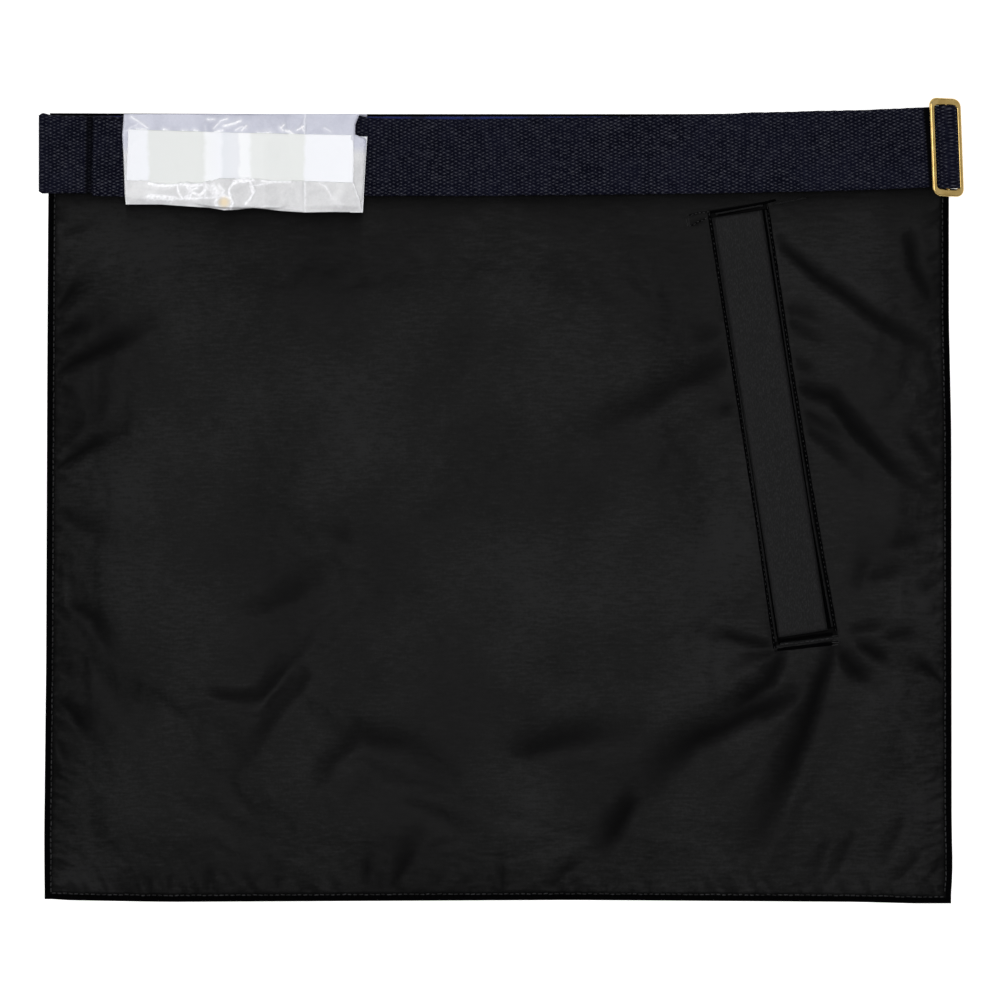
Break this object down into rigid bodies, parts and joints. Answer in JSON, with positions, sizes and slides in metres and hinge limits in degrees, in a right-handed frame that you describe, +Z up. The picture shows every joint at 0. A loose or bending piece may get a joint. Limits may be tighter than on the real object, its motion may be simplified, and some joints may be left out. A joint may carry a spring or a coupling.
{
  "type": "masonic apron with belt wrapper",
  "caption": "Padded apron lying face down, dark lining up, with a slanted welt pocket and a webbing belt closed across its top edge through a brass slider; a blank film wrapper holds the belt ends.",
  "frame": {"origin": "middle of the leather front's flat underside, on which the apron lies", "axes": "+X across the apron to the slider's end, +Y up the apron to the belt, +Z up out of the lining"},
  "size_m": [0.4164, 0.3627, 0.0147],
  "materials": {
    "leather": "smooth, matt",
    "lining_cloth": "satin weave, soft sheen",
    "ribbon": "satin",
    "welt_cloth": "plain weave, matt",
    "webbing": "heavy cotton weave, matt",
    "brass": "polished, lightly aged",
    "film": "milky, creased",
    "strip_paper": "plain, matt"
  },
  "bodies": {
    "root": {"front_panel": "leather", "back_lining": "lining_cloth", "top_ribbon": "ribbon", "pocket_welt": "welt_cloth", "left_strap": "webbing", "right_strap": "webbing", "belt_clasp": "brass", "brass_slider": "brass", "belt_wrapper": "film", "wrapper_strip": "strip_paper"}
  },
  "joints": []
}
